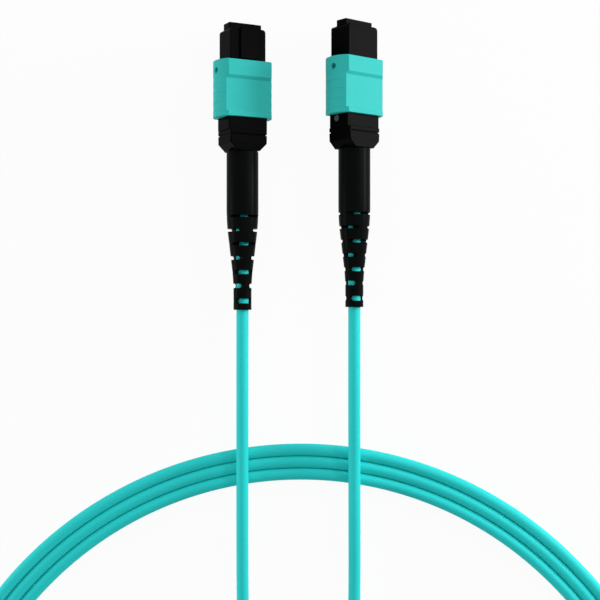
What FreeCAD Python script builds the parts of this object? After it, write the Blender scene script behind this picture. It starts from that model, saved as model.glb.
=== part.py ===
import FreeCAD, Part
import math
import os

# A fibre patch cord in millimetres: two female 12-fibre push-on plugs on one round cable with a flat coil.
# A plug is modelled in its own frame: X across its width, Y along its axis from the rear end of the strain boot
# to the face of the ferrule, Z through its thickness, with the key on the +Z side.
# The finished plugs are rolled about their axes and laid on the floor, Z = 0, with the cable behind them at -Y.

V = FreeCAD.Vector
ALONG = V(0, 1, 0)

# Cable
cable_diameter = 3.3
jacket_in_plug = 29.5            # jacket inside the plug, from the boot's rear end into the crimp ring
coil_strands = 3

# Strain boot
boot_length = 42.5
boot_diameter = 8.6
boot_tail_diameter = 4.85
boot_tail_length = 4.2           # from the rear end to where the flare starts
boot_flare_length = 23.1
boot_flare_radius = 61.0         # of the arcs at both ends of the flare
boot_clearance = 0.12            # radial, around the jacket and the crimp ring
slot_rows = (17.4, 21.1, 24.8, 28.55, 32.35, 36.05, 40.1)   # from the boot's front end to each row's middle
slot_width_first = 0.7
slot_width_step = 0.1            # each row towards the tail is this much wider
slot_webs = (1.2, 1.4, 0.95, 1.3, 0.7, 1.0, 0.7)            # half the web left between each row's two cuts

# Rear housing (spring push)
housing_gap = 0.1                # between the boot's front end and the rear housing
rear_width = 10.5
rear_neck_width = 6.8
rear_thickness = 8.5
rear_taper_length = 2.0
rear_body_length = 4.25
seam_width = 0.3                 # shadow line around the joint of the rear and the inner housing
seam_depth = 0.35
barrel_diameter = 4.9
barrel_bore = 3.5
barrel_length = 9.2
barrel_grooves = 3
barrel_groove_depth = 0.15
barrel_groove_width = 1.15
tongue_length = 12.0
tongue_clearance = 0.1
tongue_wall = 0.55

# Inner housing
inner_length = 30.0              # from its rear end to the front of the collar
inner_flange_length = 1.25
inner_width = 11.3
inner_thickness = 7.2
nose_width = 10.4
nose_thickness = 7.2
collar_width = 9.45
collar_thickness = 3.75
collar_length = 1.6
nose_corner = 0.15
nose_shoulder = 0.9              # radius of the narrow sides into the front shoulder
body_corner = 0.15
key_width = 4.9
key_height = 0.75
key_setback = 0.15               # from the nose's front shoulder
key_rear_gap = 0.3               # ahead of the coupling
cavity_width = 7.6
cavity_thickness = 3.9
cavity_corner = 0.4
latch_groove_length = 2.4        # behind the front of the coupling, which covers it
latch_groove_depth = 0.45
channel_height = 1.5             # side channel that a coupling spring lies in
channel_depth = 1.3
dot_diameter = 1.8
dot_depth = 0.3
dot_height = 0.8                 # above the plug's middle plane
dot_from_rear = 3.65

# Coupling (pull-back sleeve)
coupling_setback = 10.25         # its front end behind the collar's front
coupling_length = 15.1
coupling_width = 12.1
coupling_thickness = 9.4
coupling_side_bulge = 1.9        # of the narrow sides between their corners
coupling_corner = 0.35
coupling_clearance = 0.12
ring_length = 4.3                # full-thickness ring at the front
ring_lead_in = 1.5
ring_lead_in_drop = 0.08
ledge_length = 0.75
waist_depth = 0.6
rim_length = 1.35
scallop_count = 4
scallop_pitch = 2.5
scallop_depth = 0.07
scallop_ridge = 0.2              # width of the ridge left between two scallops
side_hole_diameter = 1.6
side_hole_setback = 2.75
side_hole_offset = 0.8           # away from the key on the +X side, towards it on the other
lug_setback = 5.2                # lug that presses on a coupling spring, behind the coupling's front
lug_length = 1.6
lug_clearance = 0.12
lug_root = 0.1                   # how far the lug goes into the coupling's wall
coupling_travel = 1.8

# Coupling springs
side_spring_diameter = 1.1
side_spring_wire = 0.2
side_spring_turns = 6
side_spring_length = 7.5

spring_steps = 10                # straight runs in a turn of any coil spring
wire_flats = 8

# Ferrule, its spring and what holds them
ferrule_width = 6.4
ferrule_thickness = 2.5
ferrule_length = 8.0
ferrule_proud = 0.15             # face ahead of the collar's front
ferrule_clearance = 0.06
ferrule_corner = 0.15
ferrule_flange_width = 7.0
ferrule_flange_thickness = 3.1
ferrule_flange_length = 2.4
ferrule_travel = 0.9
guide_hole_diameter = 0.7
guide_hole_pitch = 4.6
window_length = 3.0
window_width = 3.2
window_setback = 2.6
keeper_length = 1.9
keeper_thickness = 3.3
keeper_width = 7.0
ferrule_boot_length = 5.6
ferrule_boot_seat = 2.6          # depth of the boot's pocket in the ferrule
ferrule_boot_width = 3.4
ferrule_boot_thickness = 1.5
ribbon_width = 3.0
ribbon_thickness = 0.3
main_spring_width = 6.9
main_spring_thickness = 3.2
main_spring_wire = 0.45
main_spring_turns = 5
piece_gap = 0.05                 # between pieces that push on each other
small_corner = 0.3               # long edges of the small inner mouldings

# Crimp ring
crimp_wall = 0.35
crimp_clearance = 0.05
crimp_barrel_length = 8.4
crimp_jacket_length = 5.9
crimp_step_length = 1.2

# The coil: the outer line of its strands is an oval of four arcs, wide at the top where the leads cross it
coil_centre = (0.6, -181.8)      # centre of the top arc
coil_top_radius = 106.2
coil_side_radius = 62.0
coil_top_half_angle = 53.4       # half of what the top arc spans, in degrees
coil_bottom_half_angle = 22.0
coil_edge_chamfer = 0.9

# The leads' routes behind the straight stretch out of each plug, as chosen points
lead_straight = 13.4             # from a boot's rear end to the lead's first bend
lead_a_points = ((-15.4, -95.2, 9.6), (-15.4, -137.2, 5.2), (-9.0, -173.2, 1.9), (9.5, -200.2, 1.65),
                 (38.0, -211.0, 1.65), (65.0, -199.7, 1.65))
lead_b_points = ((15.1, -96.2, 9.7), (15.8, -136.2, 5.0), (8.0, -169.2, 8.4), (-9.0, -191.2, 8.4),
                 (-34.0, -208.2, 8.4), (-58.0, -211.2, 8.2), (-83.0, -191.7, 3.2), (-93.5, -168.2, 1.7))

# How the plugs lie
plug_a = {"x": -15.12, "y": 0.0, "roll": 27.7}
plug_b = {"x": 15.03, "y": 0.76, "roll": 219.6}

# Stations along a plug's axis, worked out from the sizes above
rear_start = boot_length + housing_gap
rear_end = rear_start + rear_body_length
inner_start = rear_end
collar_front = inner_start + inner_length
nose_front = collar_front - collar_length
coupling_front = collar_front - coupling_setback
coupling_rear = coupling_front - coupling_length
ferrule_face = collar_front + ferrule_proud
flange_front = ferrule_face - (ferrule_length - ferrule_flange_length)
ferrule_rear = ferrule_face - ferrule_length
keeper_front = ferrule_rear - piece_gap
keeper_rear = keeper_front - keeper_length
tongue_front = rear_end + tongue_length
lug_front = coupling_front - lug_setback
lug_rear = lug_front - lug_length
channel_front = lug_front + piece_gap
side_spring_front = lug_rear - piece_gap
side_spring_rear = side_spring_front - side_spring_length
channel_rear = side_spring_rear - piece_gap
barrel_rear = rear_start - barrel_length
crimp_step = barrel_rear
crimp_front = crimp_step + crimp_barrel_length
crimp_rear = crimp_step - crimp_step_length - crimp_jacket_length
crimp_jacket_radius = cable_diameter / 2 + crimp_clearance + crimp_wall
crimp_barrel_radius = barrel_diameter / 2 + crimp_clearance + crimp_wall


def bar(width, start, end, thickness, x=0.0, z=0.0, corner=0.0):
    """A rectangular bar along the axis from start to end, with its four long edges rounded."""
    solid = Part.makeBox(width, end - start, thickness, V(x - width / 2, start, z - thickness / 2))
    if corner:
        long_edges = [e for e in solid.Edges if abs(e.tangentAt(e.FirstParameter).y) > 0.99]
        solid = solid.makeFillet(corner, long_edges)
    return solid


def rod(radius, start, end, x=0.0, z=0.0):
    return Part.makeCylinder(radius, end - start, V(x, start, z), ALONG)


def cone(radius_start, radius_end, start, end):
    return Part.makeCone(radius_start, radius_end, end - start, V(0, start, 0), ALONG)


def prism_across(points, width):
    """A side profile of (y, z) points pushed across the whole width, centred on the axis."""
    outline = [V(-width / 2, y, z) for y, z in points]
    return Part.Face(Part.makePolygon(outline + outline[:1])).extrude(V(width, 0, 0))


def prism_through(points, thickness):
    """A plan profile of (x, y) points pushed through the whole thickness, centred on the axis."""
    outline = [V(x, y, -thickness / 2) for x, y in points]
    return Part.Face(Part.makePolygon(outline + outline[:1])).extrude(V(0, 0, thickness))


def both_sides(solid, axis):
    """The solid and its mirror image in the plane through the plug's axis."""
    return [solid, solid.mirror(V(0, 0, 0), axis)]


def coil_spring(width, thickness, wire, turns, start, end, x=0.0):
    """A coil spring along the axis, squeezed to a rounded rectangle if its sides differ. Its wire has flats."""
    wide, thick = (width - wire) / 2, (thickness - wire) / 2
    pitch = (end - start - wire) / turns
    corners = []
    for step in range(turns * spring_steps + 1):
        angle = 2 * math.pi * step / spring_steps
        corners.append(V(x + wide * math.cos(angle), start + wire / 2 + pitch * step / spring_steps,
                         thick * math.sin(angle)))
    first_run = corners[1] - corners[0]
    section = Part.makePolygon([
        V(wire / 2 * math.cos(angle), wire / 2 * math.sin(angle), 0)
        for angle in [2 * math.pi * flat / wire_flats for flat in range(wire_flats)] + [0]])
    section.Placement = FreeCAD.Placement(corners[0], FreeCAD.Rotation(V(0, 0, 1), first_run))
    return Part.makePolygon(corners).makePipeShell([section], True, False, 1)


# ---- The pieces of one plug ----

def boot_outline():
    """Half the boot's outer section: tail, a flare that starts and ends in tangent arcs, and the body."""
    tail, body = boot_tail_diameter / 2, boot_diameter / 2
    flare_end = boot_tail_length + boot_flare_length
    arcs_meet = (boot_flare_length**2 + (body - tail)**2) / (4 * (body - tail))   # radius that leaves no straight
    bend = min(boot_flare_radius, 0.95 * arcs_meet)
    across = 2 * bend - (body - tail)
    slope = math.atan2(boot_flare_length, across) - math.acos(2 * bend / math.hypot(boot_flare_length, across))

    def on_arc(angle, radius, station, way):
        return V(radius + way * bend * (1 - math.cos(angle)), station + way * bend * math.sin(angle), 0)

    lower = [on_arc(angle, tail, boot_tail_length, 1) for angle in (0, slope / 2, slope)]
    upper = [on_arc(angle, body, flare_end, -1) for angle in (slope, slope / 2, 0)]
    return [
        Part.makeLine(V(0, 0, 0), V(tail, 0, 0)),
        Part.makeLine(V(tail, 0, 0), lower[0]),
        Part.Arc(*lower).toShape(),
        Part.makeLine(lower[2], upper[0]),
        Part.Arc(*upper).toShape(),
        Part.makeLine(upper[2], V(body, boot_length, 0)),
        Part.makeLine(V(body, boot_length, 0), V(0, boot_length, 0)),
        Part.makeLine(V(0, boot_length, 0), V(0, 0, 0)),
    ]


def strain_boot():
    body = boot_diameter / 2
    boot = Part.Face(Part.Wire(boot_outline())).revolve(V(0, 0, 0), ALONG, 360)
    bore = cable_diameter / 2 + boot_clearance
    boot = boot.cut(rod(bore, -1, boot_length))
    boot = boot.cut(rod(crimp_jacket_radius + boot_clearance, crimp_rear - boot_clearance, crimp_step))
    boot = boot.cut(rod(crimp_barrel_radius + boot_clearance, crimp_step - crimp_step_length, boot_length + 1))
    for row, (setback, web) in enumerate(zip(slot_rows, slot_webs)):
        middle = boot_length - setback
        width = slot_width_first + row * slot_width_step
        bottom = web + width / 2
        cut = Part.makeBox(boot_diameter + 2, width, body + 1 - bottom, V(-body - 1, middle - width / 2, bottom))
        cut = cut.fuse(Part.makeCylinder(width / 2, boot_diameter + 2, V(-body - 1, middle, bottom), V(1, 0, 0)))
        if row % 2:
            cut.rotate(V(0, 0, 0), ALONG, 90)
        boot = boot.cut(both_sides(cut, V(1, 0, 0) if row % 2 else V(0, 0, 1)))
    return boot


def crimp_ring():
    step_rear = crimp_step - crimp_step_length
    barrel_bore_radius = crimp_barrel_radius - crimp_wall
    jacket_bore_radius = crimp_jacket_radius - crimp_wall
    ring = rod(crimp_barrel_radius, crimp_step, crimp_front)
    ring = ring.fuse([cone(crimp_jacket_radius, crimp_barrel_radius, step_rear, crimp_step),
                      rod(crimp_jacket_radius, crimp_rear, step_rear)])
    bore = rod(barrel_bore_radius, crimp_step, crimp_front + 1)
    bore = bore.fuse([cone(jacket_bore_radius, barrel_bore_radius, step_rear, crimp_step),
                      rod(jacket_bore_radius, crimp_rear - 1, step_rear)])
    return ring.cut(bore).removeSplitter()


def rear_housing():
    shoulder = rear_start + rear_taper_length
    outline = [(-rear_neck_width / 2, rear_start), (rear_neck_width / 2, rear_start),
               (rear_width / 2, shoulder), (rear_width / 2, rear_end),
               (-rear_width / 2, rear_end), (-rear_width / 2, shoulder)]
    body = prism_through(outline, rear_thickness)
    body = body.cut(seam_band(rear_end - seam_width / 2, rear_end + 1))
    tongue_width = cavity_width - 2 * tongue_clearance
    tongue_thickness = cavity_thickness - 2 * tongue_clearance
    body = body.fuse([bar(tongue_width, rear_end - 1, tongue_front, tongue_thickness, corner=cavity_corner),
                      rod(barrel_diameter / 2, barrel_rear, rear_start)])
    body = body.cut(rod(barrel_bore / 2, barrel_rear - 1, shoulder))
    body = body.cut(bar(tongue_width - 2 * tongue_wall, shoulder, tongue_front + 1,
                        tongue_thickness - 2 * tongue_wall))
    groove_pitch = barrel_length / (barrel_grooves + 1)
    for groove in range(barrel_grooves):
        start = barrel_rear + (groove + 1) * groove_pitch - barrel_groove_width / 2
        end = start + barrel_groove_width
        ring = rod(barrel_diameter, start, end)
        body = body.cut(ring.cut(rod(barrel_diameter / 2 - barrel_groove_depth, start, end)))
    return body.removeSplitter()


def seam_band(start, end):
    """What is cut away around the joint of the two housings, so that it shows as a dark line."""
    core = bar(rear_width - 2 * seam_depth, start, end, rear_thickness - 2 * seam_depth)
    return bar(2 * rear_width, start, end, 2 * rear_thickness).cut(core)


def inner_housing():
    flange_end = inner_start + inner_flange_length
    body = bar(rear_width, inner_start, flange_end, rear_thickness)
    body = body.cut(seam_band(inner_start - 1, inner_start + seam_width / 2))
    nose = bar(nose_width, flange_end, nose_front, nose_thickness)
    shoulder = [e for e in nose.Edges if e.CenterOfMass.y > nose_front - 0.01 and abs(e.CenterOfMass.x) > 1]
    nose = nose.makeFillet(nose_shoulder, shoulder)
    wide = [e for e in nose.Edges if abs(abs(e.CenterOfMass.z) - nose_thickness / 2) < 0.01
            and abs(e.CenterOfMass.x) > 1 and e.CenterOfMass.y > flange_end + 0.01]
    nose = nose.makeFillet(nose_corner, wide)
    key_start = coupling_front + key_rear_gap
    body = body.fuse([
        bar(inner_width, flange_end, coupling_front - ring_length, inner_thickness, corner=body_corner),
        nose,
        bar(collar_width, nose_front - 1, collar_front, collar_thickness, corner=body_corner),
        bar(key_width, key_start, nose_front - key_setback, 2 * key_height, z=nose_thickness / 2),
    ])
    body = body.cut([
        bar(cavity_width, inner_start - 1, flange_front + piece_gap, cavity_thickness, corner=cavity_corner),
        bar(ferrule_width + 2 * ferrule_clearance, flange_front, collar_front + 1,
            ferrule_thickness + 2 * ferrule_clearance),
    ])
    channel = bar(channel_depth + 1, channel_rear, channel_front, channel_height,
                  x=inner_width / 2 - channel_depth + (channel_depth + 1) / 2)
    groove = bar(latch_groove_depth + 1, coupling_front - piece_gap - latch_groove_length,
                 coupling_front - piece_gap, 2 * nose_thickness,
                 x=nose_width / 2 - latch_groove_depth + (latch_groove_depth + 1) / 2)
    body = body.cut(both_sides(channel, V(1, 0, 0)) + both_sides(groove, V(1, 0, 0)))
    return body.cut(marker_dot()).removeSplitter()


def marker_dot():
    """The pale disc let into the +X side of the inner housing, flush with it."""
    face = inner_width / 2
    return Part.makeCylinder(dot_diameter / 2, dot_depth,
                             V(face - dot_depth, inner_start + dot_from_rear, dot_height), V(1, 0, 0))


def coupling():
    half_width, half_thickness = coupling_width / 2, coupling_thickness / 2
    crown = half_width + coupling_side_bulge
    corners = [V(half_width, coupling_rear, half_thickness), V(-half_width, coupling_rear, half_thickness),
               V(-half_width, coupling_rear, -half_thickness), V(half_width, coupling_rear, -half_thickness)]
    section = Part.Wire([
        Part.makeLine(corners[0], corners[1]),
        Part.Arc(corners[1], V(-crown, coupling_rear, 0), corners[2]).toShape(),
        Part.makeLine(corners[2], corners[3]),
        Part.Arc(corners[3], V(crown, coupling_rear, 0), corners[0]).toShape(),
    ])
    sleeve = Part.Face(section).extrude(V(0, coupling_length, 0))
    long_edges = [e for e in sleeve.Edges if abs(e.tangentAt(e.FirstParameter).y) > 0.99]
    sleeve = sleeve.makeFillet(coupling_corner, long_edges)

    waist_rear = coupling_rear + rim_length
    waist_front = coupling_front - ring_length
    over = half_thickness + 1
    waist = prism_across([(waist_rear, over), (waist_rear, half_thickness - waist_depth),
                          (waist_front - ledge_length, half_thickness - waist_depth),
                          (waist_front, half_thickness), (waist_front, over)], 2 * coupling_width)
    lead_in = prism_across([(coupling_front - ring_lead_in, half_thickness),
                            (coupling_front, half_thickness - ring_lead_in_drop),
                            (coupling_front, over)], 2 * coupling_width)
    cuts = both_sides(waist, V(0, 0, 1)) + both_sides(lead_in, V(0, 0, 1))

    chord = scallop_pitch - scallop_ridge
    scallop_radius = chord ** 2 / (8 * scallop_depth) + scallop_depth / 2
    side_radius = (half_thickness ** 2 + coupling_side_bulge ** 2) / (2 * coupling_side_bulge)
    for number in range(scallop_count):
        middle = waist_rear + (number + 0.5) * scallop_pitch
        ring = Part.makeTorus(side_radius + scallop_radius - scallop_depth, scallop_radius,
                              V(crown - side_radius, middle, 0), ALONG)
        scallop = ring.common(Part.makeBox(coupling_width, 2 * scallop_pitch, 2 * coupling_thickness,
                                           V(half_width - ring_lead_in, middle - scallop_pitch, -coupling_thickness)))
        cuts += both_sides(scallop, V(1, 0, 0))

    bore_width = inner_width + 2 * coupling_clearance
    bore_thickness = inner_thickness + 2 * coupling_clearance
    cuts.append(bar(bore_width, coupling_rear - 1, coupling_front + 1, bore_thickness))
    for side in (-1, 1):
        cuts.append(Part.makeCylinder(side_hole_diameter / 2, crown,
                                      V(0, coupling_front - side_hole_setback, -side * side_hole_offset),
                                      V(side, 0, 0)))
    sleeve = sleeve.cut(cuts)

    lug_inner = inner_width / 2 - channel_depth + lug_clearance
    lug_outer = bore_width / 2 + lug_root
    lug = bar(lug_outer - lug_inner, lug_rear, lug_front, channel_height - 2 * lug_clearance,
              x=(lug_outer + lug_inner) / 2)
    return sleeve.fuse(both_sides(lug, V(1, 0, 0))).removeSplitter()


def coupling_spring(side):
    middle = inner_width / 2 - channel_depth + lug_clearance + side_spring_diameter / 2
    return coil_spring(side_spring_diameter, side_spring_diameter, side_spring_wire, side_spring_turns,
                       side_spring_rear, side_spring_front, side * middle)


def ferrule():
    body = bar(ferrule_width, flange_front - 1, ferrule_face, ferrule_thickness, corner=ferrule_corner)
    body = body.fuse(bar(ferrule_flange_width, ferrule_rear, flange_front, ferrule_flange_thickness,
                         corner=small_corner))
    window_front = ferrule_face - window_setback
    cuts = [rod(guide_hole_diameter / 2, ferrule_rear - 1, ferrule_face + 1, x=side * guide_hole_pitch / 2)
            for side in (-1, 1)]
    cuts.append(bar(ferrule_boot_width + 2 * piece_gap, ferrule_rear - 1, ferrule_rear + ferrule_boot_seat,
                    ferrule_boot_thickness + 2 * piece_gap))
    cuts.append(bar(ribbon_width + 2 * piece_gap, ferrule_rear, window_front, ribbon_thickness + 2 * piece_gap))
    cuts.append(bar(ribbon_width + 2 * piece_gap, window_front - window_length, window_front,
                    ferrule_thickness, z=ferrule_thickness / 2))
    return body.cut(cuts)


def pin_keeper():
    """The keeper of a plug without pins: a plain block behind the ferrule."""
    body = bar(keeper_width, keeper_rear, keeper_front, keeper_thickness, corner=small_corner)
    return body.cut(bar(ferrule_boot_width + 2 * piece_gap, keeper_rear - 1, keeper_front + 1,
                        ferrule_boot_thickness + 2 * piece_gap))


def ferrule_boot():
    front = ferrule_rear + ferrule_boot_seat - piece_gap
    body = bar(ferrule_boot_width, front - ferrule_boot_length, front, ferrule_boot_thickness, corner=small_corner)
    return body.cut(bar(ribbon_width + piece_gap, front - ferrule_boot_length - 1, front + 1,
                        ribbon_thickness + 2 * piece_gap))


def ferrule_spring():
    return coil_spring(main_spring_width, main_spring_thickness, main_spring_wire, main_spring_turns,
                       tongue_front + piece_gap, keeper_rear - piece_gap)


def fibre_ribbon():
    """Its free length in the housings takes up the ferrule's travel, so it rides with the ferrule."""
    rear = jacket_in_plug + ferrule_travel + piece_gap
    return bar(ribbon_width, rear, ferrule_face - window_setback - piece_gap, ribbon_thickness)


def plug():
    return {
        "strain_boot": strain_boot(),
        "crimp_ring": crimp_ring(),
        "rear_housing": rear_housing(),
        "inner_housing": inner_housing(),
        "marker_dot": marker_dot(),
        "coupling": coupling(),
        "coupling_spring_left": coupling_spring(-1),
        "coupling_spring_right": coupling_spring(1),
        "ferrule": ferrule(),
        "pin_keeper": pin_keeper(),
        "ferrule_boot": ferrule_boot(),
        "ferrule_spring": ferrule_spring(),
        "fibre_ribbon": fibre_ribbon(),
    }


# ---- The two plugs on the floor ----

def placed(shape, place, height, shift):
    lying = shape.copy()
    lying.rotate(V(0, 0, 0), ALONG, place["roll"])
    lying.translate(V(place["x"], place["y"] + shift, height))
    return lying


def axis_height(shapes, roll):
    """How high the axis of a rolled plug is when its lowest edge is on the floor."""
    lowest = 0.0
    for shape in shapes.values():
        lying = shape.copy()
        lying.rotate(V(0, 0, 0), ALONG, roll)
        lowest = min(lowest, lying.optimalBoundingBox().ZMin)
    return -lowest


# ---- The cable ----

def corner_radius(before, corner, after):
    """The radius of the largest gentle arc at a corner of a route."""
    inwards, outwards = corner - before, after - corner
    turn = inwards.getAngle(outwards)
    return 0.45 * min(inwards.Length, outwards.Length) / math.tan(turn / 2)


def cable_tube(name, route):
    """A round tube along straight runs that tangent arcs join, one arc at each corner of the route."""
    edges, start, radii = [], route[0], []
    for before, corner, after in zip(route, route[1:], route[2:]):
        inwards, outwards = (corner - before).normalize(), (after - corner).normalize()
        radius = corner_radius(before, corner, after)
        turn = inwards.getAngle(outwards)
        reach = radius * math.tan(turn / 2)
        first, last = corner - inwards * reach, corner + outwards * reach
        towards = (outwards - inwards).normalize()
        middle = corner + towards * (radius / math.cos(turn / 2) - radius)
        edges += [Part.LineSegment(start, first).toShape(), Part.Arc(first, middle, last).toShape()]
        start, radii = last, radii + [radius]
    edges.append(Part.LineSegment(start, route[-1]).toShape())
    path = Part.Wire(edges)
    section = Part.Wire(Part.Circle(route[0], route[1] - route[0], cable_diameter / 2).toShape())
    tube = path.makePipeShell([section], True, False)
    expected = path.Length * math.pi * cable_diameter ** 2 / 4
    print(name, "radii", [round(r, 1) for r in radii], "length", round(path.Length, 1),
          "volume over section times length", round(tube.Volume / expected, 5))
    return tube, path.Length


def oval_line(inset):
    """The coil's outer line moved inwards by inset, as a wire of four tangent arcs, and its length."""
    top, bottom = math.radians(coil_top_half_angle), math.radians(coil_bottom_half_angle)
    x, y = coil_centre
    side_x = (coil_top_radius - coil_side_radius) * math.sin(top)
    side_y = y + (coil_top_radius - coil_side_radius) * math.cos(top)
    bottom_radius = coil_side_radius + side_x / math.sin(bottom)
    bottom_y = side_y + (bottom_radius - coil_side_radius) * math.cos(bottom)
    stations = [(x, y, coil_top_radius, -top, top), (x + side_x, side_y, coil_side_radius, top, math.pi - bottom),
                (x, bottom_y, bottom_radius, math.pi - bottom, math.pi + bottom),
                (x - side_x, side_y, coil_side_radius, math.pi + bottom, 2 * math.pi - top)]
    arcs, length = [], 0.0
    for centre_x, centre_y, radius, first, last in stations:
        reach = radius - inset
        points = [V(centre_x + reach * math.sin(bearing), centre_y + reach * math.cos(bearing), 0)
                  for bearing in (first, (first + last) / 2, last)]
        arcs.append(Part.Arc(*points).toShape())
        length += reach * (last - first)
    return Part.Wire(arcs), length


def cable_coil():
    """The outer shape of three strands that lie side by side on the floor."""
    width = coil_strands * cable_diameter
    outer, inner = oval_line(0)[0], oval_line(width)[0]
    flat = Part.Face(outer).cut(Part.Face(inner))
    coil = flat.extrude(V(0, 0, cable_diameter))
    return coil.makeChamfer(coil_edge_chamfer, coil.Edges)


# ---- Build ----

os.makedirs("parts", exist_ok=True)
pieces = plug()
solids = {}
plug_length = ferrule_face
middle_y = -(plug_a["y"] + plug_b["y"] + plug_length) / 2
heights = {}
for letter, place in (("a", plug_a), ("b", plug_b)):
    heights[letter] = axis_height(pieces, place["roll"])
    for name, piece in pieces.items():
        solids[f"plug_{letter}_{name}"] = placed(piece, place, heights[letter], middle_y)

total = 0.0
for letter, place, points in (("a", plug_a, lead_a_points), ("b", plug_b, lead_b_points)):
    boot_end = place["y"] + middle_y
    route = [V(place["x"], boot_end + jacket_in_plug, heights[letter]),
             V(place["x"], boot_end - lead_straight, heights[letter])]
    route += [V(*point) for point in points]
    solids[f"lead_{letter}"], length = cable_tube(f"lead_{letter}", route)
    total += length
solids["cable_coil"] = cable_coil()
turn = oval_line(coil_strands * cable_diameter / 2)[1]
print("axis heights", {k: round(v, 3) for k, v in heights.items()}, "mean turn", round(turn, 1),
      "leads", round(total, 1))

for name, solid in solids.items():
    solid.exportStep(f"parts/{name}.step")
    box = solid.BoundBox
    corners = (box.XMin, box.YMin, box.ZMin, box.XMax, box.YMax, box.ZMax)
    print(name, solid.ShapeType, len(solid.Solids), "valid" if solid.isValid() else "INVALID",
          round(solid.Volume, 3), [round(v, 2) for v in corners])
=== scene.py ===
import math

import bmesh
import bpy
from mathutils import Matrix, Vector


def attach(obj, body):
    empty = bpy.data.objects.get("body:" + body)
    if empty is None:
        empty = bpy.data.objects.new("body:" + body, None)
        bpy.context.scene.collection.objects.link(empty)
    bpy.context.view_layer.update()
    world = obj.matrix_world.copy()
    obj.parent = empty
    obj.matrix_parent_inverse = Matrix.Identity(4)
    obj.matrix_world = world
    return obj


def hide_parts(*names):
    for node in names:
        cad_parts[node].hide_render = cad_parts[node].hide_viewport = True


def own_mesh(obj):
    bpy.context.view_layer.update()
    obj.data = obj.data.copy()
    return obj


# A fibre patch cord: two female push-on plugs for twelve fibres, on one round aqua cable wound into a flat coil.
# The model is in metres. +Y runs along both plugs to their ferrule faces, and the floor is at Z = 0.

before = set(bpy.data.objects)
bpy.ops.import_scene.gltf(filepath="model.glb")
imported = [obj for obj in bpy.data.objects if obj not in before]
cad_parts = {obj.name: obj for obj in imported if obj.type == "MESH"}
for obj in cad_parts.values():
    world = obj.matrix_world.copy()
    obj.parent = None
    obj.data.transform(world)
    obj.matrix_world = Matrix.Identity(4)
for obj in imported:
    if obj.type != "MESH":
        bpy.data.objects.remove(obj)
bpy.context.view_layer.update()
scene = bpy.context.scene
MM = 0.001


# ---- The cable ----
# Round indoor cable, 3.3 mm across: a smooth extruded aqua jacket over twelve fibres and yarn.
# It runs from one crimp to the other, with nearly three turns of it side by side in a flat coil.

cable_diameter = 3.3
crown = cable_diameter / 2

# The coil is an oval of four arcs. Each is a centre, a radius and the way its outer side faces at its two ends.
coil_top, coil_side, coil_bottom = 106.2, 62.0, 156.74
top_half, bottom_half = math.radians(53.4), math.radians(22.0)
oval_x, oval_y = 0.6, -181.8
side_x = (coil_top - coil_side) * math.sin(top_half)
side_y = oval_y + (coil_top - coil_side) * math.cos(top_half)
bottom_y = side_y + (coil_bottom - coil_side) * math.cos(bottom_half)
oval_arcs = [
    (oval_x, bottom_y, coil_bottom, math.pi, math.pi - bottom_half),
    (oval_x + side_x, side_y, coil_side, math.pi - bottom_half, top_half),
    (oval_x, oval_y, coil_top, top_half, -top_half),
    (oval_x - side_x, side_y, coil_side, -top_half, bottom_half - math.pi),
    (oval_x, bottom_y, coil_bottom, bottom_half - math.pi, -math.pi),
]


def oval_point(travel, inset, step):
    """The point that far along the oval from its lowest point, inset from its outer line."""
    for x, y, radius, first, last in oval_arcs:
        reach = radius - inset
        span = reach * abs(last - first)
        if travel <= span:
            break
        travel -= span
    facing = first - travel / reach
    reach += step**2 / (8 * reach)
    return x + reach * math.sin(facing), y + reach * math.cos(facing)


def oval_length(inset):
    """Once round the oval, inset from its outer line."""
    return sum((radius - inset) * abs(last - first) for _, _, radius, first, last in oval_arcs)


def eased(value):
    """A step from 0 to 1 that starts and ends gently."""
    value = min(max(value, 0.0), 1.0)
    return value * value * (3 - 2 * value)


turn_points = 36
first_turn, last_turn = 0.12, 2.77
change_start, change_span = 0.93, 0.14   # where each turn moves over to the next lane, in turns
floor_gap = 0.02
coil_points = []
for number in range(round((last_turn - first_turn) * turn_points) + 1):
    turn = first_turn + number / turn_points
    lane = 2 - sum(eased((turn - whole - change_start) / change_span) for whole in (0, 1))
    inset = crown + lane * cable_diameter
    around = oval_length(inset)
    x, y = oval_point((turn % 1.0) * around, inset, around / turn_points)
    coil_points.append((x, y, crown + floor_gap))

route = [
    (-15.12, -9.38, 6.944), (-15.12, -42.2, 6.944), (-15.14, -52.3, 6.93), (-15.24, -80.0, 5.05),
    (-15.26, -100.0, 4.9), (-15.3, -125.2, 2.1), (-13.5, -150.2, 1.68), (-6.0, -178.2, 1.68),
    (12.0, -200.2, 1.68),
]
route += coil_points
route += [
    (-83.0, -191.7, 1.95), (-70.0, -203.2, 3.45), (-58.0, -211.0, 5.35), (-40.0, -210.2, 5.45),
    (-24.0, -203.7, 2.65), (-10.0, -192.7, 4.45), (-3.5, -184.7, 5.25), (4.0, -174.2, 4.65),
    (10.5, -158.2, 1.95), (14.9, -138.2, 1.68), (15.35, -116.2, 2.3), (15.2, -97.2, 4.85),
    (15.16, -80.0, 5.1), (15.06, -66.0, 6.65), (15.03, -51.5, 7.462), (15.03, -42.2, 7.462),
    (15.03, -8.62, 7.462),
]


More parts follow.
